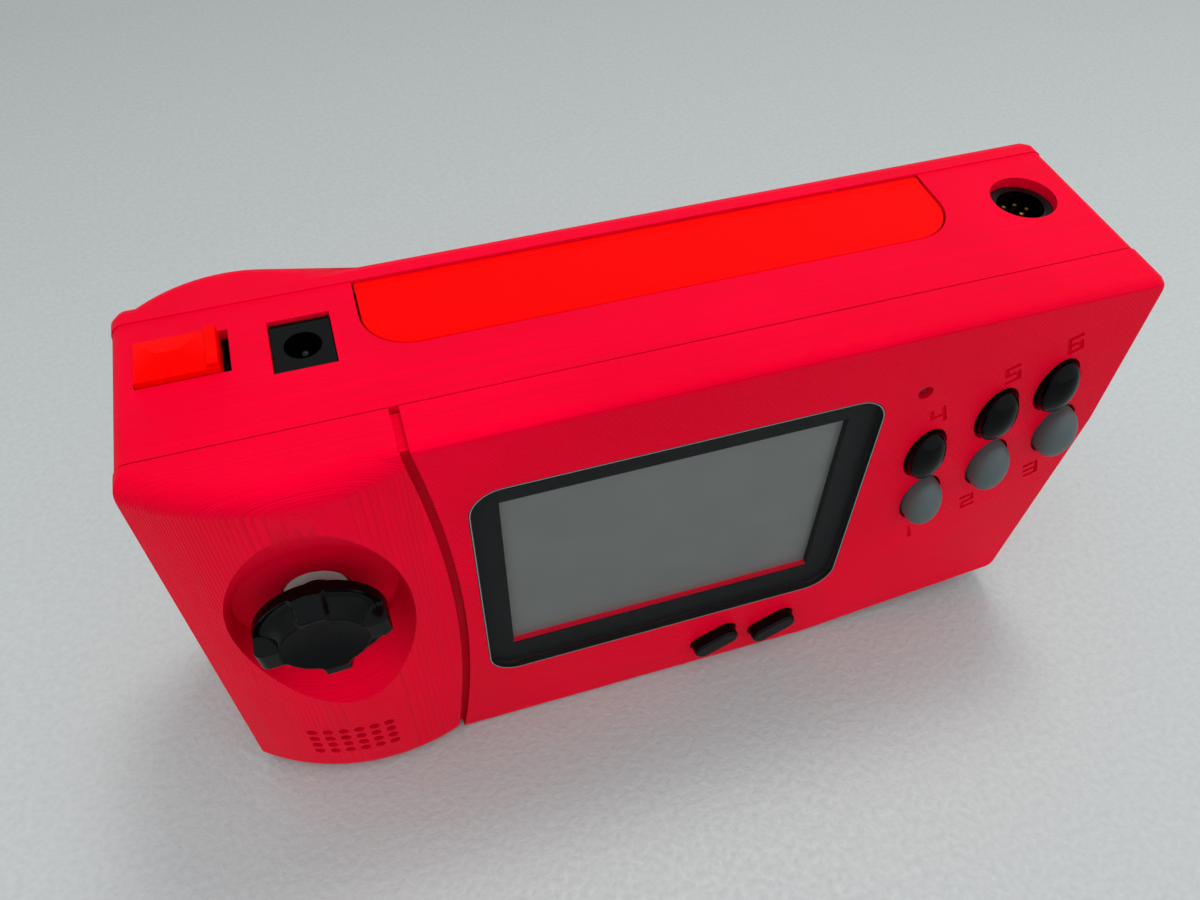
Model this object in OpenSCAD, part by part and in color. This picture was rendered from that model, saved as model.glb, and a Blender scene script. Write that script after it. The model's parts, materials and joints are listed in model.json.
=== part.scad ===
// Handheld game console: a printed case of three layers with a screen, a direction pad,
// eight push buttons, a slide switch and a hinged cartridge flap.
// Lengths are in millimetres. The console stands on its long bottom edge, the face looks to -Y.
// Inside the modules x runs from the left edge, y from the flat face backwards and z from the bottom.

/* [Case] */
// width of the case
case_w = 188; // [186:0.5:192]
// height of the case
case_h = 101; // [100:0.5:104]
// depth of the front shell at its flat face
front_depth = 10; // [10:0.1:10.6]
// depth of the middle frame
frame_depth = 33; // [32.6:0.2:35]
// depth of the back shell at its flat back
back_depth = 5.6; // [5.4:0.1:7]
// thickness of the side walls
wall = 2.4; // [2.2:0.1:2.6]
// thickness of the flat face
face_t = 3.2; // [3.0:0.05:3.3]
// rounding of the front edges
edge_r = 2; // [1.6:0.1:2.2]
// rounding of the outline's corners
corner_r = 3; // [2:0.5:4]
// how far the middle frame stands back from the two shells
seam_step = 0.2; // [0.1:0.05:0.3]
// rise of the bottom edge at its right end
bottom_rise = 7.2; // [6:0.2:8]
// lean of the right edge towards its lower end
side_lean = 5.6; // [4.5:0.1:6]

/* [Grip] */
// width of the grip up to the groove
grip_w = 44; // [43.6:0.1:44.4]
// radius of the grip's dome
dome_r = 46; // [45.5:0.25:47]
// how far the dome stands out before the flat face
dome_rise = 3.4; // [3.2:0.1:3.6]
// distance of the dome's crest from the left edge
dome_x = 28; // [27.5:0.25:28.5]
// rounding of the dome's upper and lower edge
dome_edge = 4.5; // [4:0.25:5]
// width of the groove beside the grip
groove_w = 1.7; // [1.5:0.1:2.4]
// depth of the groove
groove_t = 1.6; // [1.2:0.1:1.8]
// radius of the speaker holes
speaker_hole_r = 1.1; // [0.9:0.05:1.2]

/* [Direction pad] */
// centre of the pad from the left edge
pad_x = 23.4; // [23.2:0.1:23.6]
// centre of the pad above half the case's height
pad_z = 9.1; // [8.5:0.2:9.7]
// radius of the round well
well_r = 15.5; // [15.2:0.1:15.8]
// depth of the well's floor behind the flat face
well_floor = 6.6; // [6.4:0.1:6.6]
// radius of the pad
pad_r = 12.3; // [11.6:0.1:12.8]
// how far the pad stands out before the flat face
pad_out = 5.5; // [5:0.1:6]
// radius of the pad's stem
pad_stem_r = 3.1; // [2.9:0.05:3.2]

/* [Buttons] */
// width of the six upright oval action buttons
button_w = 7.8; // [7.4:0.1:8]
// height of the six upright oval action buttons
button_h = 13.6; // [13:0.1:13.8]
// gap around each action button
button_gap = 0.6; // [0.5:0.05:0.65]
// how far the grey action buttons stand out
lower_out = 5; // [4.4:0.1:5.4]
// how far the black action buttons stand out
upper_out = 3.8; // [3.2:0.1:4.2]
// travel of every button
button_travel = 1.3; // [1:0.05:1.35]
// first grey button from the right edge
lower_x = 38.2; // [37.9:0.1:38.5]
// first grey button below the top
lower_z = 52.1; // [51.8:0.1:52.4]
// sideways step along a row of buttons
row_dx = 13.9; // [13.7:0.1:14.1]
// upward step along a row of buttons
row_dz = 6.75; // [6.5:0.05:6.9]
// length of a slanted menu button
menu_len = 11.3; // [10.8:0.1:11.6]
// width of a slanted menu button
menu_w = 5; // [4.6:0.1:5.2]
// gap around each menu button
menu_gap = 0.4; // [0.35:0.05:0.5]
// how far the menu buttons stand out
menu_out = 2.7; // [2.2:0.1:3]

/* [Screen] */
// width of the screen lens
lens_w = 80.6; // [80:0.1:81.2]
// height of the screen lens
lens_h = 63.8; // [63.2:0.1:64.4]
// thickness of the screen lens
lens_t = 1.7; // [1.5:0.05:1.8]
// corner rounding of the screen lens
lens_r = 6.5; // [5:0.5:7.5]
// width of the part of the display that shows
view_w = 68.3; // [67:0.1:69]
// height of the part of the display that shows
view_h = 50; // [49:0.1:51]

/* [Top] */
// length of the cartridge flap's recess
flap_len = 115.6; // [114.6:0.2:116]
// front edge of the flap's recess behind the face
flap_y = 24; // [23.8:0.1:24.4]
// gap around the cartridge flap
flap_gap = 0.35; // [0.3:0.05:0.45]
// thickness of the cartridge flap
flap_t = 2.2; // [1.8:0.1:2.4]
// radius of the flap's hinge pin
pin_r = 0.8; // [0.7:0.05:0.85]
// radius of the hole for the sound and picture plug
av_r = 6.6; // [6.2:0.1:6.8]
// length of the power knob
knob_len = 13.9; // [13.4:0.1:14]
// travel of the power knob
knob_travel = 1.4; // [1.2:0.1:1.6]

/* [Fasteners] */
// radius of the case screws
screw_r = 1.45; // [1.35:0.05:1.5]
// radius of the tubes around the case screws
tube_r = 3.6; // [3.5:0.05:3.7]
// radius of the threaded inserts
insert_r = 2.1; // [2:0.05:2.2]

/* [Hidden] */
$fn = 96;
seam_y = front_depth;
back_y = front_depth + frame_depth;
end_y = back_y + back_depth;
bulge_x = 20.5;
bulge_r = 26;
bulge_edge = 2.4;
bulge_end = bulge_x + 26.5;
bulge_y = back_y - 15.5;
mid_y = (bulge_y + bulge_r - pad_out) / 2;
dome_cy = dome_r - dome_rise;
rise_x = case_w - 58;
lean_z = 62;
lens_x = grip_w + 8.95;
lens_z = 22.3;
view_x = lens_x + 5.75;
view_z = lens_z + 7.7;
lens_gap = 0.15;
mask_t = 0.25;
lcd_w = 77;
lcd_h = 62;
lcd_x = view_x + view_w / 2 - lcd_w / 2;
lcd_z = view_z + view_h / 2 - lcd_h / 2 - 0.6;
lcd_y = face_t;
flange_t = 1.35;
flange_gap = 0.2;
flange_y = face_t + flange_gap;
board_t = 1.6;
key_board_y = 8.6;
key_x0 = case_w - lower_x - 13.4;
key_z0 = case_h - lower_z - 7.3;
key_z1 = case_h - 10.6;
key_right = 4.8;
rubber_t = 1.2;
rubber_y = key_board_y - rubber_t;
blister_y = flange_y + flange_t + button_travel + 0.12;
lower_lift = [0, 0.35, 0];
upper_shift = [[-3.3, 16.1], [-3.3, 16.6], [-5.2, 14.9]];
led_r = 1.45;
led_gap = 0.15;
led_y = 1.9;
menu_tilt = 29;
menu_z = 11.4;
menu_step = 14.6;
menu_drop = 0.3;
menu_side = 2.8;
menu_under = 3.4;
menu_over = 4.6;
main_y = 21.9;
main_back = main_y + board_t;
board_x0 = 10.5;
board_x1 = case_w - 10;
board_z0 = 17;
board_z1 = case_h - 4;
battery_w = 65;
battery_h = 48;
battery_t = 8;
battery_x = case_w / 2 - 34;
battery_z = board_z0 + 13;
connector_h = 13;
connector_d = 16;
connector_end = 5.8;
connector_z = case_h - 61;
card_t = 2.4;
card_depth = 9;
card_y = main_back + 10;
flap_x = grip_w - 1.6;
flap_corner = 9.4;
flap_top = case_h - 0.4;
hinge_y = back_y - 1.6;
hinge_z = case_h - 1.6;
barrel_r = 1.3;
flap_tail = 1.35;
pin_gap = 0.15;
rib_t = 1.5;
jack_x = 32.1;
jack_y = 29.8;
jack_w = 10.4;
jack_d = 12.6;
jack_gap = 0.25;
jack_top = case_h - 1;
jack_h = 14;
plug_r = 3.3;
plug_depth = 10;
plug_pin_r = 1.05;
plug_pin_h = 7.4;
av_x = case_w - 13.1;
av_y = 29.9;
av_body_w = 14;
av_body_h = 10;
av_depth = 7;
av_ring_r = 5.55;
av_ring_t = 0.8;
av_pin_r = 0.4;
av_pin_h = 5;
av_pin_at = 3.2;
av_pin_step = 2.2;
av_pin_count = 7;
av_pin_start = 20;
av_pin_turn = 320;
slot_x = 4.25;
slot_y = 26.2;
slot_d = 10.5;
knob_gap = 0.25;
slot_len = knob_len + knob_travel + 2 * knob_gap;
knob_x = slot_x + knob_gap;
knob_base = case_h - wall - 0.4;
switch_top = case_h - 6;
switch_h = 9;
switch_len = 13.8;
switch_x = knob_x + 0.5;
switch_end = 1;
switch_side = 2.4;
switch_back = 0.8;
lever_w = 6;
lever_d = 4;
lever_sink = 3.6;
knob_eave = 0.9;
knob_ridge = 2.1;
knob_rim = 1.8;
knob_bar = 2;
knob_hip = 4.1;
pad_pivot_y = well_floor + 1.55;
ring_r = 6;
ring_half = 1.25;
stem_past = 1;
ring_bore = pad_stem_r + 0.4;
well_hole = 6.6;
well_wall = 3.5;
flare_w = 17.5;
flare_h = 30.3;
flare_front = 4;
flare_back = well_floor - 1.6;
flare_side = 0.2;
flare_lift = 2;
flare_wall = 2.2;
plate_x = dome_x + 8;
pad_post = 12.5;
pad_sheet = 13.6;
pad_dish_r = 22;
pad_dish = 1.8;
pad_cap_r = 8.4;
pad_arm_w = 5.6;
pad_plate = 2.2;
pad_back = 0.5;
groove_bend = 280;
groove_x = grip_w + 4.7;
groove_lift = 1.5;
groove_top_x = grip_w - 0.35;
groove_foot_x = grip_w - 0.95;
well_back = well_floor + 2.4;
pad_rubber_y = pad_pivot_y + 2.85;
pad_rubber_t = 0.8;
speaker_x = 21.4;
speaker_z = 15.4;
speaker_r = 11.5;
speaker_y = 5;
speaker_t = 2;
speaker_lip = 1.2;
speaker_rim = 0.8;
magnet_in = 4;
magnet_t = 4;
sound_cols = 6;
sound_rows = 4;
sound_dx = 3.2;
sound_dz = 3;
head_floor = back_y + 2.4;
insert_len = 4;
insert_floor = 1;
head_r = 2.8;
head_t = 2.2;
head_gap = 0.4;
head_seat_r = 4.8;
key_r = 1.3;
hole_gap = 0.25;
board_screw_r = 1.2;
board_screw_len = 7;
board_head_r = 2.3;
board_head_t = 1.6;
screw_in = 5.8;
screws = [
  [screw_in, case_h - 21],
  [screw_in, 8],
  [60, screw_in],
  [rise_x + 12, 7.4],
  [case_w - 12.5, 12.2],
  [case_w - screw_in, case_h - 17.4]
];
post_in = 15;
post_r = 2.6;
post_bore_r = 1.3;
post_bore = 9;
post_foot = 2;
key_post_r = 2.4;
menu_post_r = 2.2;
pad_post_r = 2;
post_gap = 0.3;
blister_r = 3.4;
menu_blister_r = 2.4;
led_foot = 0.45;
led_foot_t = 1.4;
led_hole_r = 2.3;
flange_rim = 1;
cap_ball_r = 8.2;
number_w = 3.4;
number_h = 5;
number_stroke = 0.9;
number_t = 0.6;
number_tilt = 20;
number_under = [-0.3, -13.6];
number_over = [-0.3, 11.4];
posts = [
  [post_in, case_h - 25],
  [post_in, 24],
  [case_w / 2 - 2, 26],
  [case_w - 20, 24],
  [case_w - 20, case_h - 25]
];
lower_spots = [
  for (i = [0:2]) [case_w - lower_x + i * row_dx, case_h - lower_z + i * row_dz + lower_lift[i]]
];
upper_spots = [for (i = [0:2]) lower_spots[i] + upper_shift[i]];
all_spots = concat(lower_spots, upper_spots);
led_spot = upper_spots[0] + [-5.4, 19.6];
key_posts = [
  lower_spots[0] + [-7.8, 6.4],
  lower_spots[1] + [2.9, -10.6],
  lower_spots[2] + [3, 11.2],
  upper_spots[1] + [2.9, 12.8]
];
menu_x = lens_x + 52.65;
menu_spots = [
  [menu_x, menu_z],
  [menu_x + menu_step, menu_z - menu_drop]
];
menu_posts = [
  menu_spots[0] + [-8.4, 3.6],
  menu_spots[1] + [8.4, -3.7]
];
pad_spot = [pad_x, case_h / 2 + pad_z];

case_red = [0.85, 0.05, 0.12];
flap_red = [0.9, 0.03, 0.03];
black = [0.06, 0.06, 0.07];
grey = [0.38, 0.43, 0.43];
white = [0.9, 0.9, 0.88];
steel = [0.7, 0.7, 0.72];
brass = [0.8, 0.65, 0.3];
green = [0.1, 0.35, 0.18];

// outline of the case seen from the front, as corner points
outline_pts = [
  [0, 0],
  [rise_x, 0],
  [case_w - side_lean, bottom_rise],
  [case_w, lean_z],
  [case_w, case_h],
  [0, case_h]
];

// direction of a line
function unit(v) = v / norm(v);
// point i of a closed list
function at(p, i) = p[(i + len(p)) % len(p)];
// inward normal of the edge from a to b
function inward(a, b) = [-unit(b - a)[1], unit(b - a)[0]];
// corner points moved inwards by d
function inset_pts(p, d) = [
  for (i = [0:len(p) - 1])
    let (n1 = inward(at(p, i - 1), at(p, i)), n2 = inward(at(p, i), at(p, i + 1)))
    p[i] + (n1 + n2) * d / (1 + n1 * n2)
];
// turn from one bearing to another by the short way
function turn(a, b) = ((b - a + 900) % 360) - 180;
// corner i rounded with radius r
function round_corner(p, i, r) =
  let (
    a = unit(at(p, i - 1) - p[i]),
    b = unit(at(p, i + 1) - p[i]),
    half = acos(a * b) / 2,
    c = p[i] + unit(a + b) * r / sin(half),
    s = p[i] + a * r / tan(half) - c,
    e = p[i] + b * r / tan(half) - c,
    a0 = atan2(s[1], s[0]),
    da = turn(a0, atan2(e[1], e[0])),
    n = max(1, ceil(abs(da) / 15))
  )
  [for (k = [0:n]) c + r * [cos(a0 + da * k / n), sin(a0 + da * k / n)]];
// whole outline with inset d and rounded corners
function outline(d) =
  let (p = inset_pts(outline_pts, d), r = max(0.4, corner_r - d))
  [for (i = [0:len(p) - 1]) each round_corner(p, i, r)];

// the design's corner moved to the middle of the bottom
module seat() {
  translate([-case_w / 2, -mid_y, 0]) children();
}

// a flat drawing in x and z given depth from y0 to y1
module slab(y0, y1) {
  translate([0, y1, 0]) rotate([90, 0, 0]) linear_extrude(y1 - y0) children();
}

// the outline as a slab
module layer(y0, y1, d) {
  slab(y0, y1) polygon(outline(d));
}

// a round bar along y
module bar(x, z, y0, y1, r) {
  translate([x, y0, z]) rotate([-90, 0, 0]) cylinder(r = r, h = y1 - y0);
}

// a box from one corner to the other
module block(a, b) {
  translate(a) cube(b - a);
}

// a box with rounded corners in x and z
module soft_block(x0, z0, w, h, y0, y1, r) {
  block([x0 + r, y0, z0], [x0 + w - r, y1, z0 + h]);
  block([x0, y0, z0 + r], [x0 + w, y1, z0 + h - r]);
  for (x = [x0 + r, x0 + w - r]) {
    for (z = [z0 + r, z0 + h - r]) {
      bar(x, z, y0, y1, r);
    }
  }
}

// an upright oval bar along y with the outline of an action button, d wider all round
module upright_oval(p, y0, y1, d) {
  a = button_w / 2 + d;
  b = button_h / 2 + d;
  slab(y0, y1) polygon([for (k = [0:7.5:359]) p + [a * cos(k), b * sin(k)]]);
}

// a slanted oval bar along y
module oval(p, y0, y1, l, w) {
  translate([p[0], 0, p[1]]) rotate([0, -menu_tilt, 0]) union() {
    block([-l / 2 + w / 2, y0, -w / 2], [l / 2 - w / 2, y1, w / 2]);
    bar(-l / 2 + w / 2, 0, y0, y1, w / 2);
    bar(l / 2 - w / 2, 0, y0, y1, w / 2);
  }
}

// numeral made of straight strokes, to be cut into the face
digit_strokes = [[], [1, 2], [0, 1, 6, 4, 3], [0, 1, 6, 2, 3], [5, 6, 1, 2], [0, 5, 6, 2, 3],
  [0, 5, 4, 3, 2, 6]];
module numeral(d, p) {
  w = number_w;
  h = number_h;
  s = number_stroke;
  translate([p[0], 0, p[1]]) rotate([0, -number_tilt, 0]) union() {
    for (k = digit_strokes[d]) {
      if (k == 0) block([-w / 2, -1, h / 2 - s], [w / 2, number_t, h / 2]);
      if (k == 1) block([w / 2 - s, -1, -s / 2], [w / 2, number_t, h / 2]);
      if (k == 2) block([w / 2 - s, -1, -h / 2], [w / 2, number_t, s / 2]);
      if (k == 3) block([-w / 2, -1, -h / 2], [w / 2, number_t, -h / 2 + s]);
      if (k == 4) block([-w / 2, -1, -h / 2], [-w / 2 + s, number_t, s / 2]);
      if (k == 5) block([-w / 2, -1, -s / 2], [-w / 2 + s, number_t, h / 2]);
      if (k == 6) block([-w / 2, -1, -s / 2], [w / 2, number_t, s / 2]);
    }
  }
}

// front plate with rounded edges
module face_plate() {
  intersection() {
    hull() {
      layer(0, 0.01, edge_r * 0.8);
      layer(edge_r * 0.13, edge_r * 0.13 + 0.01, edge_r * 0.45);
      layer(edge_r * 0.4, edge_r * 0.4 + 0.01, edge_r * 0.18);
      layer(edge_r, front_depth, 0);
    }
    block([plate_x, -1, -1], [case_w + 1, front_depth + 1, case_h + 1]);
  }
}

// drawing that turns into the dome's drum with rounded rims
module dome_half() {
  square([dome_r - dome_edge, case_h]);
  translate([0, dome_edge]) square([dome_r, case_h - 2 * dome_edge]);
  for (z = [dome_edge, case_h - dome_edge]) {
    translate([dome_r - dome_edge, z]) circle(r = dome_edge);
  }
}

// domed grip left of the groove
module grip_dome() {
  intersection() {
    translate([dome_x, dome_cy, 0]) rotate_extrude($fn = 180) dome_half();
    layer(-dome_rise - 1, front_depth, 0);
    block([-1, -dome_rise - 1, -1], [groove_x, front_depth, case_h + 1]);
  }
}

// bowl around the pad that narrows from a long oval rim to the round well
module flare(d) {
  hull() {
    slab(-flare_front - 1, -flare_front) translate([pad_spot[0] + flare_side, pad_spot[1] + flare_lift])
      scale([flare_w + d, flare_h + d]) circle(r = 1);
    bar(pad_spot[0], pad_spot[1], flare_back + d - 0.1, flare_back + d, well_r + d);
  }
}

// hollow of the front shell
module front_hollow() {
  intersection() {
    layer(face_t, front_depth + 1, wall);
    block([grip_w + 1, face_t, 0], [case_w, front_depth + 1, case_h]);
  }
  difference() {
    intersection() {
      layer(-1, front_depth + 1, wall);
      translate([dome_x, dome_cy, -1]) cylinder(r = dome_r - face_t, h = case_h + 2, $fn = 180);
      block([0, -1, 0], [grip_w + 1.01, front_depth + 1, case_h]);
    }
    bar(pad_spot[0], pad_spot[1], -5, well_back, well_r + well_wall);
    flare(flare_wall);
  }
}

// curved groove between grip and face, carried over the top and the bottom edge
module groove() {
  arc_x = groove_x - groove_bend;
  arc_z = case_h / 2 + groove_lift;
  difference() {
    bar(arc_x, arc_z, -1, groove_t, groove_bend + groove_w / 2);
    bar(arc_x, arc_z, -2, groove_t + 1, groove_bend - groove_w / 2);
    block([-2 * groove_bend, -3, -groove_bend * 2], [0, 5, groove_bend * 2]);
  }
  block([groove_top_x, -1, case_h - groove_t], [groove_top_x + groove_w, front_depth + 1, case_h + 1]);
  block([groove_foot_x, -1, -1], [groove_foot_x + groove_w, front_depth + 1, groove_t]);
}

module front_shell() {
  color(case_red) seat() difference() {
    union() {
      difference() {
        union() {
          face_plate();
          grip_dome();
        }
        front_hollow();
      }
      for (p = screws) {
        intersection() {
          bar(p[0], p[1], front_depth - insert_len - insert_floor, front_depth, tube_r);
          layer(0, front_depth, 0.5);
        }
      }
      for (p = key_posts) {
        bar(p[0], p[1], face_t - 0.5, key_board_y, key_post_r);
      }
      for (p = menu_posts) {
        bar(p[0], p[1], face_t - 0.5, key_board_y, menu_post_r);
      }
      for (sx = [-1, 1]) {
        for (sz = [-1, 1]) {
          bar(pad_spot[0] + sx * pad_post, pad_spot[1] + sz * pad_post, well_back - 0.5,
            pad_rubber_y + pad_rubber_t, pad_post_r);
        }
      }
      difference() {
        bar(speaker_x, speaker_z, face_t - 0.6, speaker_y, speaker_r + speaker_rim);
        bar(speaker_x, speaker_z, 0, speaker_y + 1, speaker_r - speaker_lip);
      }
    }
    flare(0);
    bar(pad_spot[0], pad_spot[1], -10, well_floor, well_r);
    bar(pad_spot[0], pad_spot[1], -10, front_depth + 5, well_hole);
    groove();
    soft_block(lens_x - lens_gap, lens_z - lens_gap, lens_w + 2 * lens_gap, lens_h + 2 * lens_gap,
      -1, lens_t + mask_t, lens_r + lens_gap);
    block([view_x, -1, view_z], [view_x + view_w, face_t + 1, view_z + view_h]);
    for (p = all_spots) {
      upright_oval(p, -1, face_t + 1, button_gap);
    }
    for (p = menu_spots) {
      oval(p, -1, face_t + 1, menu_len + 2 * menu_gap, menu_w + 2 * menu_gap);
    }
    bar(led_spot[0], led_spot[1], -1, face_t + 1, led_r + led_gap);
    for (i = [0:sound_cols - 1]) {
      for (k = [0:sound_rows - 1]) {
        x = speaker_x + (i - (sound_cols - 1) / 2) * sound_dx;
        z = speaker_z + (k - (sound_rows - 1) / 2) * sound_dz;
        bar(x, z, -4, speaker_y + speaker_t, speaker_hole_r);
      }
    }
    for (p = screws) {
      bar(p[0], p[1], front_depth - insert_len, front_depth + 1, insert_r + 0.05);
    }
    for (i = [0:2]) {
      numeral(i + 1, lower_spots[i] + number_under);
      numeral(i + 4, upper_spots[i] + number_over);
    }
  }
}

// plan of the flap with rounded front corners, as a solid from z0 to z1
module flap_plan(g, z0, z1) {
  r = flap_corner - g;
  x0 = flap_x + g;
  x1 = flap_x + flap_len - g;
  y0 = flap_y + g;
  block([x0 + r, y0, z0], [x1 - r, hinge_y, z1]);
  block([x0, y0 + r, z0], [x1, hinge_y, z1]);
  translate([x0 + r, y0 + r, z0]) cylinder(r = r, h = z1 - z0);
  translate([x1 - r, y0 + r, z0]) cylinder(r = r, h = z1 - z0);
}

module middle_frame() {
  color(case_red) seat() difference() {
    union() {
      difference() {
        layer(seam_y, back_y, seam_step);
        layer(seam_y - 1, back_y + 1, wall);
      }
      for (p = screws) {
        intersection() {
          bar(p[0], p[1], seam_y, back_y, tube_r);
          layer(seam_y, back_y, seam_step + 0.3);
        }
      }
      for (x = [flap_x - rib_t, flap_x + flap_len]) {
        block([x, flap_y, case_h - 42], [x + rib_t, back_y, case_h - wall + 0.5]);
      }
    }
    for (p = screws) {
      bar(p[0], p[1], seam_y - 1, back_y + 1, screw_r + hole_gap);
    }
    flap_plan(0, case_h - wall - 1, case_h + 1);
    block([flap_x, hinge_y - 1, case_h - wall - 1], [flap_x + flap_len, back_y + 1, case_h + 1]);
    translate([flap_x - rib_t - 1, hinge_y, hinge_z]) rotate([0, 90, 0])
      cylinder(r = pin_r + 0.05, h = flap_len + 2 * rib_t + 2, $fn = 48);
    block([slot_x, slot_y, case_h - wall - 1], [slot_x + slot_len, slot_y + slot_d, case_h + 1]);
    block([jack_x - jack_w / 2 - jack_gap, jack_y - jack_d / 2 - jack_gap, case_h - wall - 1],
      [jack_x + jack_w / 2 + jack_gap, jack_y + jack_d / 2 + jack_gap, case_h + 1]);
    translate([av_x, av_y, case_h - wall - 1]) cylinder(r = av_r, h = wall + 2);
  }
}

// bulge behind the grip, as one smooth swell
module back_bulge() {
  hull() {
    for (k = [[bulge_edge, 0], [bulge_edge * 0.3, bulge_edge * 0.3], [0, bulge_edge]]) {
      translate([bulge_x, bulge_y, k[1]]) cylinder(r = bulge_r - k[0], h = case_h - 2 * k[1], $fn = 88);
    }
    block([bulge_end - 9, back_y + 1, bulge_edge], [bulge_end, end_y, case_h - bulge_edge]);
  }
}

module back_shell() {
  color(case_red) seat() difference() {
    union() {
      difference() {
        union() {
          hull() {
            layer(back_y, back_y + back_depth * 0.45, 0);
            layer(end_y - 1.1, end_y - 1.09, 0.9);
            layer(end_y - 0.3, end_y - 0.29, 1.9);
            layer(end_y - 0.01, end_y, 3);
          }
          intersection() {
            back_bulge();
            layer(back_y, end_y + 8, 0);
          }
        }
        layer(back_y - 1, end_y - wall, wall);
        intersection() {
          translate([bulge_x, bulge_y, wall]) cylinder(r = bulge_r - wall, h = case_h - 2 * wall);
          layer(back_y - 1, end_y + 8, wall);
        }
      }
      for (p = screws) {
        intersection() {
          bar(p[0], p[1], back_y, end_y - 0.6, head_seat_r);
          layer(back_y, end_y, 0.5);
        }
      }
      for (p = posts) {
        bar(p[0], p[1], main_back, end_y - wall + 0.5, post_r);
      }
      for (p = [posts[0], posts[1]]) {
        bar(p[0], p[1], end_y - wall, end_y + post_foot, post_r);
      }
    }
    for (p = screws) {
      bar(p[0], p[1], back_y - 1, end_y + 5, screw_r + hole_gap);
      bar(p[0], p[1], head_floor, end_y + 8, head_r + head_gap);
    }
    for (p = posts) {
      bar(p[0], p[1], main_back - 1, main_back + post_bore, post_bore_r);
    }
  }
}

module screen_lens() {
  color([0.5, 0.55, 0.55, 0.4]) seat()
    soft_block(lens_x, lens_z, lens_w, lens_h, 0, lens_t, lens_r);
}

module screen_mask() {
  color(black) seat() difference() {
    soft_block(lens_x, lens_z, lens_w, lens_h, lens_t, lens_t + mask_t, lens_r);
    block([view_x, 0, view_z], [view_x + view_w, 5, view_z + view_h]);
  }
}

module lcd_panel() {
  color([0.3, 0.32, 0.31]) seat() block([lcd_x, lcd_y, lcd_z], [lcd_x + lcd_w, lcd_y + 2, lcd_z + lcd_h]);
}

module lcd_backlight() {
  color(white) seat()
    block([lcd_x + 0.5, lcd_y + 2, lcd_z + 0.5], [lcd_x + lcd_w - 0.5, lcd_y + 5, lcd_z + lcd_h - 0.5]);
}

module lcd_board() {
  color(green) seat()
    block([lcd_x + 6, lcd_y + 5, lcd_z + 5], [lcd_x + lcd_w - 6, lcd_y + 5 + board_t, lcd_z + lcd_h - 5]);
}

module main_board() {
  color(green) seat() difference() {
    block([board_x0, main_y, board_z0], [board_x1, main_back, board_z1]);
    for (p = posts) {
      bar(p[0], p[1], main_y - 1, main_back + 1, 1.4);
    }
  }
}

// sheet behind the action buttons, cut away at the case boss in its upper right corner
module key_sheet(y0, y1, d) {
  boss = screws[5];
  difference() {
    block([key_x0 + d, y0, key_z0 + d], [case_w - key_right - d, y1, key_z1 - d]);
    block([boss[0] - tube_r - 0.6, y0 - 1, boss[1] - tube_r - 0.6], [case_w, y1 + 1, case_h]);
  }
}

module action_board() {
  color(green) seat() key_sheet(key_board_y, key_board_y + board_t, 0);
}

// sheet behind the two menu buttons
module menu_sheet(y0, y1, d) {
  block([menu_posts[0][0] - menu_side + d, y0, menu_posts[1][1] - menu_under + d],
    [menu_posts[1][0] + menu_side - d, y1, menu_posts[0][1] + menu_over - d]);
}

module menu_board() {
  color(green) seat() menu_sheet(key_board_y, key_board_y + board_t, 0);
}

// square sheet behind the pad
module pad_square(y0, y1, half) {
  block([pad_spot[0] - half, y0, pad_spot[1] - half], [pad_spot[0] + half, y1, pad_spot[1] + half]);
}

module pad_board() {
  y = pad_rubber_y + pad_rubber_t;
  color(green) seat() pad_square(y, y + board_t, pad_sheet);
}

module action_membrane() {
  color(grey) seat() difference() {
    union() {
      key_sheet(rubber_y, key_board_y, 1);
      for (p = all_spots) {
        bar(p[0], p[1], blister_y, rubber_y + 0.2, blister_r);
      }
    }
    for (p = key_posts) {
      bar(p[0], p[1], 0, key_board_y + 1, key_post_r + post_gap);
    }
    bar(led_spot[0], led_spot[1], 0, key_board_y + 1, led_hole_r);
  }
}

module menu_membrane() {
  color(grey) seat() difference() {
    union() {
      menu_sheet(rubber_y, key_board_y, 0.6);
      for (p = menu_spots) {
        bar(p[0], p[1], blister_y, rubber_y + 0.2, menu_blister_r);
      }
    }
    for (p = menu_posts) {
      bar(p[0], p[1], 0, key_board_y + 1, menu_post_r + post_gap);
    }
  }
}

module pad_membrane() {
  color(white) seat()
    pad_square(pad_rubber_y, pad_rubber_y + pad_rubber_t, pad_post - 3);
}

module speaker() {
  color(black) seat() union() {
    bar(speaker_x, speaker_z, speaker_y, speaker_y + speaker_t, speaker_r);
    bar(speaker_x, speaker_z, speaker_y + speaker_t, speaker_y + speaker_t + magnet_t, speaker_r - magnet_in);
  }
}

module status_led() {
  color([0.8, 0.1, 0.1]) seat() union() {
    bar(led_spot[0], led_spot[1], led_y, key_board_y, led_r);
    bar(led_spot[0], led_spot[1], key_board_y - led_foot_t, key_board_y, led_r + led_foot);
    translate([led_spot[0], led_y, led_spot[1]]) sphere(r = led_r);
  }
}

module power_switch_body() {
  color(black) seat() difference() {
    block([switch_x, main_back, switch_top - switch_h],
      [switch_x + switch_len, slot_y + slot_d - switch_back, switch_top]);
    block([switch_x + switch_end, slot_y + switch_side, switch_top - lever_sink - 0.4],
      [switch_x + switch_len - switch_end, slot_y + slot_d - switch_side, switch_top + 1]);
  }
}

module power_lever() {
  color(black) seat() translate([knob_x + knob_len / 2, slot_y + slot_d / 2, 0])
    block([-lever_w / 2, -lever_d / 2, switch_top - lever_sink], [lever_w / 2, lever_d / 2, knob_base]);
}

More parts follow.
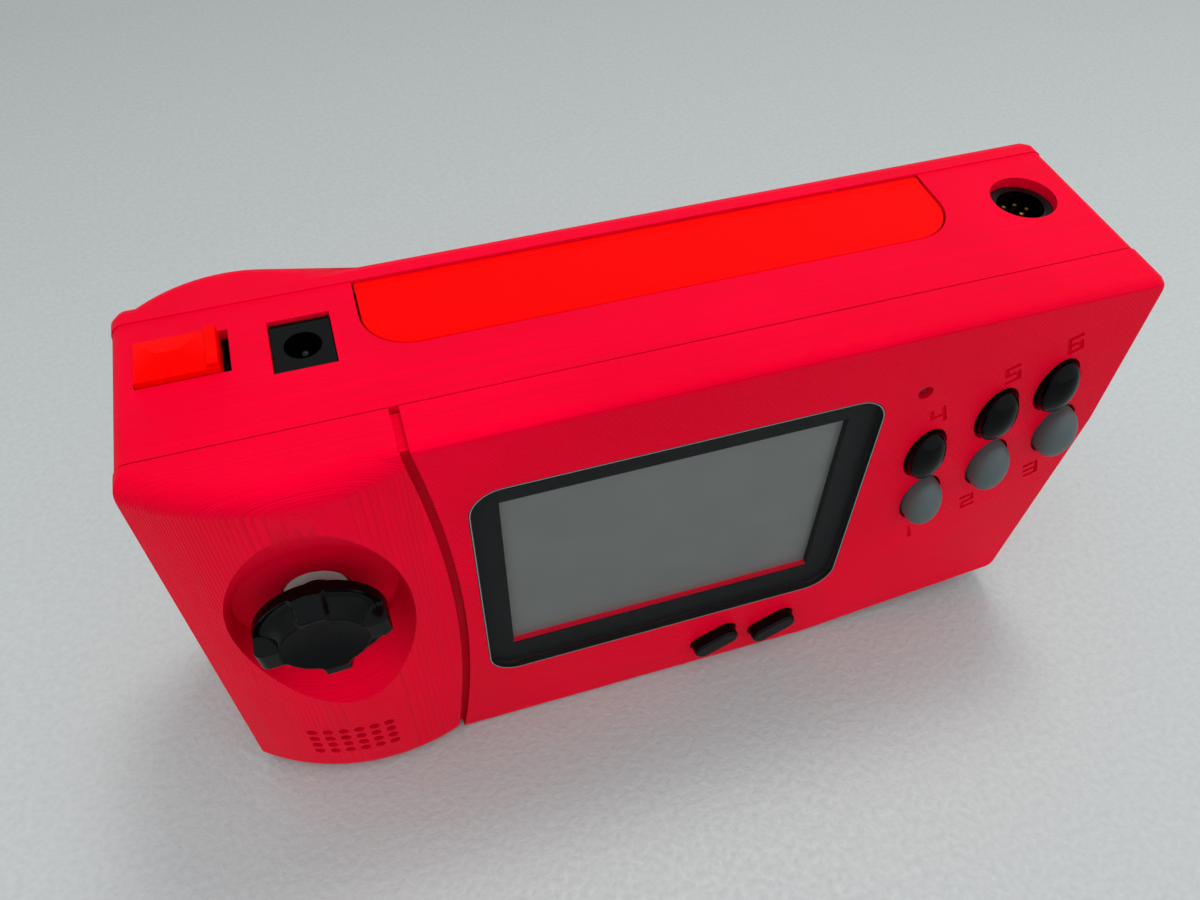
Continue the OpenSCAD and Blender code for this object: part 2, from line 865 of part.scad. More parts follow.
// knob with a hipped roof and a raised bar at its right end
module power_knob() {
  x0 = knob_x;
  x1 = knob_x + knob_len;
  y0 = slot_y + knob_gap;
  y1 = slot_y + slot_d - knob_gap;
  bar_x = x1 - knob_bar;
  ridge_y = (y0 + y1) / 2;
  color(flap_red) seat() union() {
    block([x0, y0, knob_base], [x1, y1, case_h + knob_eave]);
    hull() {
      block([x0, y0, case_h], [bar_x, y1, case_h + knob_eave]);
      block([x0 + knob_hip, ridge_y - 0.1, case_h], [bar_x - knob_hip, ridge_y + 0.1, case_h + knob_ridge]);
    }
    block([bar_x, y0 + 0.3, case_h], [x1, y1, case_h + knob_rim]);
  }
}

module dc_jack() {
  color(black) seat() difference() {
    block([jack_x - jack_w / 2, jack_y - jack_d / 2, jack_top - jack_h],
      [jack_x + jack_w / 2, jack_y + jack_d / 2, jack_top]);
    translate([jack_x, jack_y, jack_top - plug_depth]) cylinder(r = plug_r, h = plug_depth + 1, $fn = 64);
  }
}

module dc_pin() {
  color(steel) seat() translate([jack_x, jack_y, jack_top - plug_depth]) union() {
    cylinder(r = plug_pin_r, h = plug_pin_h, $fn = 48);
    translate([0, 0, plug_pin_h]) sphere(r = plug_pin_r, $fn = 48);
  }
}

module av_socket() {
  top = case_h - wall;
  color(black) seat() difference() {
    block([av_x - av_body_w / 2, main_back, top - av_body_h],
      [av_x + av_body_w / 2, av_y + av_body_w / 2, top]);
    translate([av_x, av_y, top - av_depth]) cylinder(r = av_ring_r + 0.05, h = av_depth + 1, $fn = 64);
  }
}

module av_ring() {
  top = case_h - wall;
  color(steel) seat() translate([av_x, av_y, top - av_depth]) difference() {
    cylinder(r = av_ring_r, h = av_depth + 0.2, $fn = 64);
    translate([0, 0, -1]) cylinder(r = av_ring_r - av_ring_t, h = av_depth + 3, $fn = 64);
  }
}

module av_pins() {
  top = case_h - wall;
  color(brass) seat() translate([av_x, av_y, top - av_depth]) union() {
    for (k = [0:av_pin_count - 1]) {
      rotate([0, 0, av_pin_start + k * av_pin_turn / av_pin_count]) translate([av_pin_at, 0, 0])
        cylinder(r = av_pin_r, h = av_pin_h, $fn = 24);
    }
    for (k = [0:1]) {
      translate([(k - 0.5) * av_pin_step, 0, 0]) cylinder(r = av_pin_r, h = av_pin_h, $fn = 24);
    }
  }
}

module cartridge_connector() {
  color(black) seat() difference() {
    block([flap_x + connector_end, main_back, connector_z],
      [flap_x + flap_len - connector_end, main_back + connector_d, connector_z + connector_h]);
    block([flap_x + 2 * connector_end, card_y - card_t / 2, connector_z + connector_h - card_depth],
      [flap_x + flap_len - 2 * connector_end, card_y + card_t / 2, connector_z + connector_h + 1]);
  }
}

module cartridge_flap() {
  color(flap_red) seat() difference() {
    union() {
      flap_plan(flap_gap, flap_top - flap_t, flap_top);
      translate([flap_x + flap_gap, hinge_y, hinge_z]) rotate([0, 90, 0])
        cylinder(r = barrel_r, h = flap_len - 2 * flap_gap, $fn = 64);
      block([flap_x + flap_gap, hinge_y, hinge_z],
        [flap_x + flap_len - flap_gap, hinge_y + flap_tail, flap_top]);
    }
    translate([flap_x - 1, hinge_y, hinge_z]) rotate([0, 90, 0])
      cylinder(r = pin_r + pin_gap, h = flap_len + 2, $fn = 48);
  }
}

module flap_pin() {
  color(steel) seat() translate([flap_x - rib_t, hinge_y, hinge_z]) rotate([0, 90, 0])
    cylinder(r = pin_r, h = flap_len + 2 * rib_t, $fn = 48);
}

module battery_pack() {
  color([0.2, 0.3, 0.55]) seat() block([battery_x, main_y - battery_t, battery_z],
    [battery_x + battery_w, main_y, battery_z + battery_h]);
}

module case_screws() {
  color(steel) seat() union() {
    for (p = screws) {
      bar(p[0], p[1], front_depth - insert_len + 0.4, head_floor + 0.5, screw_r);
      difference() {
        bar(p[0], p[1], head_floor, head_floor + head_t, head_r);
        translate([p[0], head_floor + head_t / 2, p[1]]) rotate([-90, 0, 0])
          cylinder(r = key_r, h = head_t, $fn = 6);
      }
    }
  }
}

module screw_inserts() {
  color(brass) seat() union() {
    for (p = screws) {
      difference() {
        bar(p[0], p[1], front_depth - insert_len, front_depth - 0.1, insert_r);
        bar(p[0], p[1], front_depth - insert_len - 1, front_depth + 1, screw_r + 0.05);
      }
    }
  }
}

module board_screws() {
  color(steel) seat() union() {
    for (p = posts) {
      bar(p[0], p[1], main_y - 0.5, main_back + board_screw_len, board_screw_r);
      bar(p[0], p[1], main_y - board_head_t, main_y, board_head_r);
    }
  }
}

module direction_pad() {
  back = pad_out + pad_back;
  color(black) seat() translate([pad_spot[0], -pad_out, pad_spot[1]]) difference() {
    union() {
      bar(0, 0, back - pad_plate, back, pad_r);
      bar(0, 0, 0, back, pad_cap_r);
      intersection() {
        bar(0, 0, 0.3, back, pad_r - 0.1);
        union() {
          block([-pad_r, 0, -pad_arm_w / 2], [pad_r, back, pad_arm_w / 2]);
          block([-pad_arm_w / 2, 0, -pad_r], [pad_arm_w / 2, back, pad_r]);
        }
      }
      bar(0, 0, back - 0.5, pad_out + pad_pivot_y + ring_half + stem_past, pad_stem_r);
    }
    translate([0, pad_dish - pad_dish_r, 0]) sphere(r = pad_dish_r);
  }
}

module pad_pivot() {
  color(white) seat() difference() {
    bar(pad_spot[0], pad_spot[1], pad_pivot_y - ring_half, pad_pivot_y + ring_half, ring_r);
    bar(pad_spot[0], pad_spot[1], pad_pivot_y - 3, pad_pivot_y + 3, ring_bore);
  }
}

// action button with a domed top and a flange behind the face
module dome_button(p, out) {
  seat() union() {
    intersection() {
      upright_oval(p, -out - 1, flange_y + 0.2, 0);
      translate([p[0], cap_ball_r - out, p[1]]) sphere(r = cap_ball_r);
    }
    upright_oval(p, flange_y, flange_y + flange_t, flange_rim);
  }
}

module menu_button(p) {
  color(black) seat() union() {
    oval(p, -menu_out, flange_y + 0.2, menu_len, menu_w);
    oval(p, flange_y, flange_y + flange_t, menu_len + 2, menu_w + 2);
  }
}

module lower_button_1() {
  color(grey) dome_button(lower_spots[0], lower_out);
}

module lower_button_2() {
  color(grey) dome_button(lower_spots[1], lower_out);
}

module lower_button_3() {
  color(grey) dome_button(lower_spots[2], lower_out);
}

module upper_button_1() {
  color(black) dome_button(upper_spots[0], upper_out);
}

module upper_button_2() {
  color(black) dome_button(upper_spots[1], upper_out);
}

module upper_button_3() {
  color(black) dome_button(upper_spots[2], upper_out);
}

module menu_button_left() {
  menu_button(menu_spots[0]);
}

module menu_button_right() {
  menu_button(menu_spots[1]);
}

front_shell();
middle_frame();
back_shell();
screen_lens();
screen_mask();
lcd_panel();
lcd_backlight();
lcd_board();
main_board();
action_board();
menu_board();
pad_board();
action_membrane();
menu_membrane();
pad_membrane();
speaker();
status_led();
power_switch_body();
power_lever();
power_knob();
dc_jack();
dc_pin();
av_socket();
av_ring();
av_pins();
cartridge_connector();
cartridge_flap();
flap_pin();
battery_pack();
case_screws();
screw_inserts();
board_screws();
direction_pad();
pad_pivot();
lower_button_1();
lower_button_2();
lower_button_3();
upper_button_1();
upper_button_2();
upper_button_3();
menu_button_left();
menu_button_right();
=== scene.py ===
"""Handheld game console: finished pieces, materials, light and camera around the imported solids.

The frame is in metres. The console stands on its long bottom edge, and its face looks to -Y.
"""
import json
import math

import bpy
from mathutils import Euler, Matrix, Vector

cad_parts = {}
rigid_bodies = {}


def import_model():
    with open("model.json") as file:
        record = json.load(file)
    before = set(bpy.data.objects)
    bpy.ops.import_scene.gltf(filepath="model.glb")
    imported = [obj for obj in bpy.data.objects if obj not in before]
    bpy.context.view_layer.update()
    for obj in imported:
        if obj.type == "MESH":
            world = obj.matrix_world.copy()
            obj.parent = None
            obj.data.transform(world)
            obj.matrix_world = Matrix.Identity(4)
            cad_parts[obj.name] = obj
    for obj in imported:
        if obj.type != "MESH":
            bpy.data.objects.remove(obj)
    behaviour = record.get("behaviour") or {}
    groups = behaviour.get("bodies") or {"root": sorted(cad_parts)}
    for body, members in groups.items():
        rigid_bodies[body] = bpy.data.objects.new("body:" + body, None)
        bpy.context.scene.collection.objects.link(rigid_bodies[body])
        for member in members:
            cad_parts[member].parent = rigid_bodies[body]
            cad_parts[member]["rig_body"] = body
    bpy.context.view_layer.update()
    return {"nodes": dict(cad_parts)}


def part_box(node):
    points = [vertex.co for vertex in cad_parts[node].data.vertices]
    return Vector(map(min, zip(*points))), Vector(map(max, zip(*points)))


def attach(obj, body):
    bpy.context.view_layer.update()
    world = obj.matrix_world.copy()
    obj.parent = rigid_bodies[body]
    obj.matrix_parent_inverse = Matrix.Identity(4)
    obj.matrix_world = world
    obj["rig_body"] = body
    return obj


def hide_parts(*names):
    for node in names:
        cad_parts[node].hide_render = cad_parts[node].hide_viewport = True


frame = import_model()

MM = 0.001


# Small tools

def choose(piece):
    """Makes one piece the only selected and active one."""
    bpy.ops.object.select_all(action="DESELECT")
    piece.select_set(True)
    bpy.context.view_layer.objects.active = piece


def open_edit(piece, mode="EDGE"):
    """Opens a piece for editing with nothing selected."""
    choose(piece)
    bpy.ops.object.mode_set(mode="EDIT")
    bpy.ops.mesh.select_mode(type=mode)
    bpy.ops.mesh.select_all(action="DESELECT")


def close_edit():
    bpy.ops.object.mode_set(mode="OBJECT")


def pick(piece, kind, test):
    """Selects the vertices, edges or polygons for which test is true, and opens the piece for editing."""
    modes = {"vertices": "VERT", "edges": "EDGE", "polygons": "FACE"}
    open_edit(piece, modes[kind])
    close_edit()
    for part in getattr(piece.data, kind):
        part.select = test(part)
    bpy.ops.object.mode_set(mode="EDIT")


def apply_modifier(piece, kind, **settings):
    """Adds one modifier with its settings and applies it."""
    choose(piece)
    made = piece.modifiers.new(kind.lower(), kind)
    for key, value in settings.items():
        setattr(made, key, value)
    bpy.ops.object.modifier_apply(modifier=made.name)


def smooth(piece, degrees):
    """Smooth shading that breaks at edges sharper than the angle."""
    choose(piece)
    bpy.ops.object.shade_smooth_by_angle(angle=math.radians(degrees))


def place(piece, body, slot, material, *nodes):
    """Gives a finished piece its material and its body, and hides the solids that it stands for. The slot is
    not used.
    """
    if not piece.data.materials:
        piece.data.materials.append(material)
    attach(piece, body)
    if nodes:
        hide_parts(*nodes)
    return piece


def body_of(node):
    """Name of the body that carries a solid."""
    return frame["nodes"][node]["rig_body"]


# Materials

def linear(code):
    """An sRGB hex colour as linear red, green, blue and alpha."""
    parts = [int(code[i:i + 2], 16) / 255 for i in (1, 3, 5)]
    return [c / 12.92 if c <= 0.04045 else ((c + 0.055) / 1.055) ** 2.4 for c in parts] + [1.0]


def add(tree, kind, inputs=(), **settings):
    """Adds one node with its settings. Inputs are pairs of a socket and a value or an output to link."""
    made = tree.nodes.new("ShaderNode" + kind)
    for key, value in settings.items():
        setattr(made, key, value)
    for socket, value in inputs:
        if isinstance(value, bpy.types.NodeSocket):
            tree.links.new(value, made.inputs[socket])
        else:
            made.inputs[socket].default_value = value
    return made


def start_material(name, **constants):
    """A new material, its node tree and its shader, with the values that are the same all over."""
    made = bpy.data.materials.new(name)
    made.use_nodes = True
    shader = made.node_tree.nodes["Principled BSDF"]
    for key, value in constants.items():
        shader.inputs[key.replace("_", " ")].default_value = value
    return made, made.node_tree, shader


def printed_plastic(name, main, deep, layer, raster, roughness, relief=0.05, stain=0.5, **constants):
    """Plastic laid down by a printer in layers along Y.

    Sides show fine level lines, faces that look along Y show slanted strokes,
    and shallow domes show terraces. The spacings are in millimetres.
    """
    made, tree, shader = start_material(name, **constants)
    spot = add(tree, "TexCoord")
    axes = add(tree, "SeparateXYZ", [(0, spot.outputs["Object"])])
    lean = add(tree, "SeparateXYZ", [(0, spot.outputs["Normal"])])
    # beads wander by a part of their width along some 8 mm
    wander = add(tree, "TexNoise", [(0, spot.outputs["Object"]), ("Scale", 1 / (8 * MM)), ("Detail", 3.0)])
    drift = add(tree, "Math", [(0, wander.outputs[0]), (1, 0.3)], operation="MULTIPLY")
    level = add(tree, "Math", [(0, axes.outputs[1]), (1, 1 / (layer * MM)), (2, drift.outputs[0])],
                operation="MULTIPLY_ADD")
    level_turn = add(tree, "Math", [(0, level.outputs[0]), (1, math.pi)], operation="MULTIPLY")
    level_wave = add(tree, "Math", [(0, level_turn.outputs[0])], operation="SINE")
    level_bead = add(tree, "Math", [(0, level_wave.outputs[0])], operation="ABSOLUTE")
    across = add(tree, "Math", [(0, axes.outputs[0]), (1, axes.outputs[2])], operation="ADD")
    stroke = add(tree, "Math", [(0, across.outputs[0]), (1, math.pi / (math.sqrt(2) * raster * MM))],
                 operation="MULTIPLY")
    stroke_wave = add(tree, "Math", [(0, stroke.outputs[0])], operation="SINE")
    stroke_bead = add(tree, "Math", [(0, stroke_wave.outputs[0])], operation="ABSOLUTE")
    facing = add(tree, "Math", [(0, lean.outputs[1])], operation="ABSOLUTE")
    flat = add(tree, "MapRange", [(0, facing.outputs[0]), (1, 0.992), (2, 0.999)],
               interpolation_type="SMOOTHSTEP")
    bead = add(tree, "Mix", [(0, flat.outputs[0]), (2, level_bead.outputs[0]), (3, stroke_bead.outputs[0])])
    # each layer takes the colour a little differently, and broad patches differ too
    stretch = (1 / (40 * MM), 1 / (layer * MM), 1 / (40 * MM))
    thin = add(tree, "Mapping", [(0, spot.outputs["Object"]), (3, stretch)])
    streak = add(tree, "TexNoise", [(0, thin.outputs[0]), ("Scale", 1.0), ("Detail", 2.0)])
    patch = add(tree, "TexNoise", [(0, spot.outputs["Object"]), ("Scale", 1 / (35 * MM)), ("Detail", 2.0)])
    tone = add(tree, "Math", [(0, streak.outputs[0]), (1, patch.outputs[0])], operation="MULTIPLY")
    share = add(tree, "MapRange", [(0, tone.outputs[0]), (1, 0.1), (2, 0.45), (3, stain), (4, 0.0)])
    # painted shade: the colour goes part of the way to the deep tone in the valleys between the beads
    groove = add(tree, "MapRange", [(0, bead.outputs[0]), (1, 0.0), (2, 0.5), (3, 0.35), (4, 0.0)])
    shade = add(tree, "Math", [(0, share.outputs[0]), (1, groove.outputs[0])],
                operation="ADD", use_clamp=True)
    colour = add(tree, "Mix", [(0, shade.outputs[0]), (6, linear(main)), (7, linear(deep))], data_type="RGBA")
    tree.links.new(colour.outputs[2], shader.inputs["Base Color"])
    gloss = add(tree, "MapRange", [(0, streak.outputs[0]), (1, 0.3), (2, 0.7), (3, roughness - 0.06),
                                   (4, roughness + 0.08)])
    tree.links.new(gloss.outputs[0], shader.inputs["Roughness"])
    raised = add(tree, "Bump", [("Strength", 0.7), ("Distance", relief * MM), ("Height", bead.outputs[0])])
    tree.links.new(raised.outputs[0], shader.inputs["Normal"])
    return made


def cloudy(name, main, deep, grain, roughness, relief=0.0, **constants):
    """A plain moulded, coated or metal surface with faint clouds of tone and gloss.

    The grain is in millimetres.
    """
    made, tree, shader = start_material(name, **constants)
    spot = add(tree, "TexCoord")
    cloud = add(tree, "TexNoise", [(0, spot.outputs["Object"]), ("Scale", 1 / (grain * MM)), ("Detail", 4.0)])
    colour = add(tree, "Mix", [(0, cloud.outputs[0]), (6, linear(main)), (7, linear(deep))], data_type="RGBA")
    tree.links.new(colour.outputs[2], shader.inputs["Base Color"])
    gloss = add(tree, "MapRange", [(0, cloud.outputs[0]), (1, 0.3), (2, 0.7), (3, roughness * 0.85),
                                   (4, roughness * 1.2)])
    tree.links.new(gloss.outputs[0], shader.inputs["Roughness"])
    if relief:
        raised = add(tree, "Bump", [("Strength", 0.5), ("Distance", relief * MM),
                                    ("Height", cloud.outputs[0])])
        tree.links.new(raised.outputs[0], shader.inputs["Normal"])
    return made


# Printed PLA in crimson: a satin skin with fine level lines, whose sheen keeps the colour of the plastic.
case_red = printed_plastic("crimson_pla_printed", "#F2002E", "#C6001C", 0.28, 0.55, 0.46, 0.07,
                           Specular_IOR_Level=0.06, Specular_Tint=(1.0, 0.0, 0.1, 1.0))
# The same plastic in the narrow groove, with painted shade: darker where the walls shade each other.
painted_groove_shade_red = printed_plastic("crimson_pla_painted_groove_shade", "#D00022", "#AE0016", 0.28, 0.55, 0.5, 0.04,
                             Specular_IOR_Level=0.06, Specular_Tint=(1.0, 0.0, 0.1, 1.0))
# The same plastic from another reel: a purer red on the flap and the knob.
trim_red = printed_plastic("scarlet_pla_printed", "#F80000", "#D80000", 0.28, 0.5, 0.4, 0.03,
                           Specular_IOR_Level=0.06, Specular_Tint=(1.0, 0.0, 0.0, 1.0))
# Grey PLA, printed crown upwards: matte with faint rings around the crown.
button_grey = printed_plastic("grey_pla_printed", "#4E5859", "#404A4B", 0.3, 0.4, 0.5, 0.012, 0.4)
# Black resin, cured in very thin layers: deep gloss with hardly visible lines.
gloss_black = printed_plastic("black_resin_glossy", "#050606", "#020203", 0.25, 0.4, 0.12, 0.002, 0.5,
                              Specular_IOR_Level=0.1)
# The same black where the layers break through the skin: dull, with fine rings.
dish_black = printed_plastic("black_resin_stepped", "#0B0C0D", "#060708", 0.12, 0.35, 0.42, 0.02, 0.4,
                             Specular_IOR_Level=0.05)
# White PLA, printed: chalky with level lines.
print_white = printed_plastic("white_pla_printed", "#F4F2EC", "#E2DED6", 0.3, 0.45, 0.5, 0.03, 0.5, IOR=1.46)
# Nylon, moulded: dull black with a fine grain.
moulded_black = cloudy("black_nylon_moulded", "#101112", "#08090A", 0.6, 0.4, 0.01, Specular_IOR_Level=0.2)
# Screen ink behind the lens: flat deep black.
mask_ink = cloudy("black_ink_printed", "#141617", "#0E1011", 0.8, 0.6, 0.004, Specular_IOR_Level=0.1)
# Silicone rubber, moulded: soft grey without gloss.
grey_rubber = cloudy("grey_silicone_moulded", "#6B6F70", "#5A5E5F", 1.2, 0.7, 0.01, IOR=1.41)
# Steel, turned and plated: bright with faint clouds of wear.
bright_steel = cloudy("plated_steel_turned", "#C9CACB", "#A9ABAD", 0.7, 0.24, 0.004, Metallic=1.0)
# Steel, stamped and blackened: dark with a soft glint along its edges.
dark_steel = cloudy("blackened_steel_stamped", "#2A2B2D", "#161718", 0.7, 0.3, 0.004, Metallic=1.0)
# Brass, turned: warm and a little dulled.
dull_brass = cloudy("brass_turned", "#C9A456", "#A98340", 0.7, 0.3, 0.004, Metallic=1.0)
# Circuit board under green lacquer: glossy with darker tracks showing through as clouds.
board_green = cloudy("circuit_board_lacquered", "#1C5B34", "#123F24", 2.5, 0.32, 0.01, IOR=1.52)
# Shrink film around the cells: smooth blue.
cell_wrap = cloudy("blue_film_shrunk", "#2F4E8C", "#243D70", 4.0, 0.3, 0.01)
# Display glass that is switched off: dull dark grey under a fine dust.
display_grey = cloudy("display_glass_etched", "#6E7371", "#666B68", 9.0, 0.34, 0.0, IOR=1.5)
# Red lamp body: clear tinted epoxy.
lamp_red = cloudy("red_epoxy_cast", "#7A0A0A", "#5C0505", 0.8, 0.15, 0.0, IOR=1.54, Specular_IOR_Level=0.1)


def lens_clear():
    """Acrylic, cut from sheet: clear, with a faint film of dust that dulls the gloss."""
    made, tree, shader = start_material("acrylic_sheet_clear", Alpha=0.05, IOR=1.49, Specular_IOR_Level=0.25)
    shader.inputs["Base Color"].default_value = linear("#3A3E3D")
    spot = add(tree, "TexCoord")
    dust = add(tree, "TexNoise", [(0, spot.outputs["Object"]), ("Scale", 1 / (12 * MM)), ("Detail", 1.0)])
    haze = add(tree, "MapRange", [(0, dust.outputs[0]), (1, 0.35), (2, 0.75), (3, 0.05), (4, 0.12)])
    tree.links.new(haze.outputs[0], shader.inputs["Roughness"])
    return made


def lens_edge():
    """The cut side of the acrylic: frosted by the cutter, so it catches light as a pale line."""
    made, tree, shader = start_material("acrylic_edge_frosted", IOR=1.49)
    spot = add(tree, "TexCoord")
    chatter = add(tree, "TexNoise", [(0, spot.outputs["Object"]), ("Scale", 1 / (0.5 * MM)), ("Detail", 2.0)])
    colour = add(tree, "Mix", [(0, chatter.outputs[0]), (6, linear("#6A6F6D")), (7, linear("#929795"))],
                 data_type="RGBA")
    tree.links.new(colour.outputs[2], shader.inputs["Base Color"])
    shader.inputs["Roughness"].default_value = 0.5
    return made


# Pieces

def copied(node, name):
    """A copy of a solid with its loose triangles joined into whole faces."""
    piece = bpy.data.objects.new(name, frame["nodes"][node].data.copy())
    piece.data.materials.clear()
    bpy.context.scene.collection.objects.link(piece)
    choose(piece)
    bpy.ops.mesh.customdata_custom_splitnormals_clear()
    bpy.ops.object.mode_set(mode="EDIT")
    bpy.ops.mesh.select_all(action="SELECT")
    bpy.ops.mesh.remove_doubles(threshold=0.002 * MM)
    bpy.ops.mesh.dissolve_limited(angle_limit=math.radians(0.4))
    close_edit()
    return piece


# edges below this angle in degrees are shaded as one surface
SMOOTH_BELOW = 32


def even_shading(piece):
    """Lets the larger faces lead the shading, up to the sharp edges."""
    apply_modifier(piece, "WEIGHTED_NORMAL", keep_sharp=True, weight=60)


def softened(node, name, slot, material, width, degrees=50, turns=2):
    """A copy of a solid whose sharp edges are broken, as a printer or a file leaves them.

    The width is in millimetres.
    """
    piece = copied(node, name)
    if width:
        apply_modifier(piece, "BEVEL", width=width * MM, segments=turns, limit_method="ANGLE",
                       angle_limit=math.radians(degrees), use_clamp_overlap=False, miter_outer="MITER_SHARP")
    smooth(piece, SMOOTH_BELOW)
    even_shading(piece)
    return place(piece, body_of(node), slot, material, node)


for node, name in (
    ("front_shell", "front_shell_printed"),
    ("middle_frame", "middle_frame_printed"),
    ("back_shell", "back_shell_printed"),
):
    softened(node, name, "printed_case", case_red, 0.0)

softened("power_knob", "power_knob_printed", "printed_trim", trim_red, 0.25)
softened("cartridge_flap", "cartridge_flap_printed", "printed_trim", trim_red, 0.3)


# how far apart two planes may lie and still count as one, in metres
SAME_PLANE = 0.01 * MM
# width of the dark line between the front shell and the middle frame
SEAM_GAP = 0.4
# the pad well's rim lies between these distances from the middle of the pad
WELL_RIM = (14, 20)
# a face that leans this far towards the middle belongs to the well and not to the dome
WELL_LEAN = -0.25
# the groove's arc: its middle, its radius, half its width with a margin, and the depth of its floor
GROOVE_X, GROOVE_Z, GROOVE_BEND, GROOVE_HALF = -325.3, 52.0, 280.0, 1.0
GROOVE_FLOOR = (-23.0, -22.2)
# where the right wall of the screen opening lies
WALL_X, WALL_Y, WALL_Z = (30, 40), (-22.4, -18), (24, 86)


def between(value, limits):
    return limits[0] < value < limits[1]


def open_seam(piece, seam, gap):
    """Moves the front plane of the middle frame back a little, so the seam shows as a thin dark line."""
    pick(piece, "vertices", lambda point: abs(point.co.y - seam) < SAME_PLANE)
    bpy.ops.transform.translate(value=(0, gap * MM, 0))
    close_edit()


def paint_groove_shade(piece):
    """Gives the floor and the flanks of the curved groove beside the grip a deeper red, as painted shade."""
    piece.data.materials.append(painted_groove_shade_red)

    def inside(index):
        spot = piece.data.vertices[index].co / MM
        return abs(math.hypot(spot.x - GROOVE_X, spot.z - GROOVE_Z) - GROOVE_BEND) < GROOVE_HALF

    for face in piece.data.polygons:
        deepest = max(piece.data.vertices[index].co.y for index in face.vertices) / MM
        if between(deepest, GROOVE_FLOOR) and all(inside(index) for index in face.vertices):
            face.material_index = 1


def crisp_rim(piece, node):
    """Parts the shading of the well around a node from the shading of the dome."""
    low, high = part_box(node)
    middle = (low + high) / 2
    sides = {}
    for face in piece.data.polygons:
        out = face.center - middle
        out.y = 0
        inward = out.normalized().dot(face.normal) < WELL_LEAN
        for key in face.edge_keys:
            sides.setdefault(key, set()).add(inward)
    for edge in piece.data.edges:
        ends = [piece.data.vertices[index].co for index in edge.vertices]
        spot = (ends[0] + ends[1]) / 2 - middle
        if len(sides[edge.key]) == 2 and between(math.hypot(spot.x, spot.z) / MM, WELL_RIM):
            edge.use_edge_sharp = True
    even_shading(piece)


def paint_window_wall_shade(piece):
    """Blackens the right wall of the screen opening with the mask ink, as painted shade."""
    piece.data.materials.append(mask_ink)
    for face in piece.data.polygons:
        spot = face.center / MM
        inside = between(spot.x, WALL_X) and between(spot.y, WALL_Y) and between(spot.z, WALL_Z)
        if inside and face.normal.x < -0.9:
            face.material_index = 2


front_shell = bpy.data.objects["front_shell_printed"]
crisp_rim(front_shell, "direction_pad")
paint_groove_shade(front_shell)
paint_window_wall_shade(front_shell)
open_seam(bpy.data.objects["middle_frame_printed"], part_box("middle_frame")[0].y, SEAM_GAP)


def upright_disc(name, centre, radius, sides):
    """A filled disc that looks along Y, opened for editing and selected. The radius is in millimetres."""
    bpy.ops.object.select_all(action="DESELECT")
    bpy.ops.mesh.primitive_circle_add(vertices=sides, radius=radius * MM, fill_type="NGON",
                                      rotation=(math.pi / 2, 0, 0), location=centre)
    piece = bpy.context.object
    piece.name = piece.data.name = name
    bpy.ops.object.transform_apply(location=True, rotation=True, scale=True)
    bpy.ops.object.mode_set(mode="EDIT")
    bpy.ops.mesh.select_all(action="SELECT")
    return piece


def drawn_oval(name, centre, profile, sides=96):
    """An oval piece along Y, drawn out of a disc step by step, from the back of the piece to its front.

    Each step of the profile is half the width, half the height and the depth behind the centre,
    in millimetres.
    """
    wide, tall, depth = profile[0]
    piece = upright_disc(name, centre + Vector((0, depth * MM, 0)), wide, sides)
    bpy.ops.transform.resize(value=(1, 1, tall / wide), center_override=centre)
    for next_wide, next_tall, next_depth in profile[1:]:
        bpy.ops.mesh.extrude_region_move(
            TRANSFORM_OT_translate={"value": (0, (next_depth - depth) * MM, 0)})
        bpy.ops.transform.resize(value=(next_wide / wide, 1, next_tall / tall), center_override=centre)
        wide, tall, depth = next_wide, next_tall, next_depth
    bpy.ops.mesh.poke()
    bpy.ops.mesh.select_all(action="SELECT")
    bpy.ops.mesh.normals_make_consistent(inside=False)
    close_edit()
    return piece


# Action buttons. Depths are measured from the front of each solid.
FLANGE_RIM = 1.0
FLANGE_T = 1.35
CROWN_SHARE = 0.4
# the crown's last ring stays just open, so its sides keep a direction
CROWN_STEPS = 24
CROWN_END = 89.6


def action_button(node, name, slot, material):
    """One upright oval button with its flange and a crown like half an egg."""
    low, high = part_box(node)
    centre = Vector(((low.x + high.x) / 2, low.y, (low.z + high.z) / 2))
    back = (high.y - low.y) / MM
    wide, tall = (high.x - low.x) / MM / 2, (high.z - low.z) / MM / 2
    stem_wide, stem_tall = wide - FLANGE_RIM, tall - FLANGE_RIM
    profile = [(wide, tall, back), (wide, tall, back - FLANGE_T), (stem_wide, stem_tall, back - FLANGE_T)]
    crown = CROWN_SHARE * back
    for k in range(CROWN_STEPS + 1):
        turn = math.radians(CROWN_END * k / CROWN_STEPS)
        share = math.cos(turn)
        profile.append((stem_wide * share, stem_tall * share, crown * (1 - math.sin(turn))))
    piece = drawn_oval(name, centre, profile)
    smooth(piece, 40)
    return place(piece, node, slot, material, node)


for number in (1, 2, 3):
    action_button("lower_button_%d" % number, "lower_button_%d_domed" % number, "grey_print", button_grey)
    action_button("upper_button_%d" % number, "upper_button_%d_domed" % number, "gloss_black", gloss_black)


# Screen lens: the air behind it and the width of its frosted rim
LENS_GAP = 0.06
LENS_RIM = 0.22


def cut_lens():
    """The clear lens with a frosted rim and inked sides. A film of air parts it from the mask."""
    piece = copied("screen_lens", "screen_lens_cut")
    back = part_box("screen_lens")[1].y
    pick(piece, "vertices", lambda point: abs(point.co.y - back) < SAME_PLANE)
    bpy.ops.transform.translate(value=(0, -LENS_GAP * MM, 0))
    close_edit()
    for material in (lens_clear(), lens_edge(), mask_ink):
        piece.data.materials.append(material)
    pick(piece, "polygons", lambda face: face.normal.y < -0.9)
    bpy.ops.mesh.inset(thickness=LENS_RIM * MM)
    close_edit()
    for face in piece.data.polygons:
        on_rim = face.normal.y < -0.9 and not face.select
        on_side = abs(face.normal.y) < 0.5
        face.material_index = 1 if on_rim else 2 if on_side else 0
    place(piece, body_of("screen_lens"), "clear_lens", None, "screen_lens")


cut_lens()

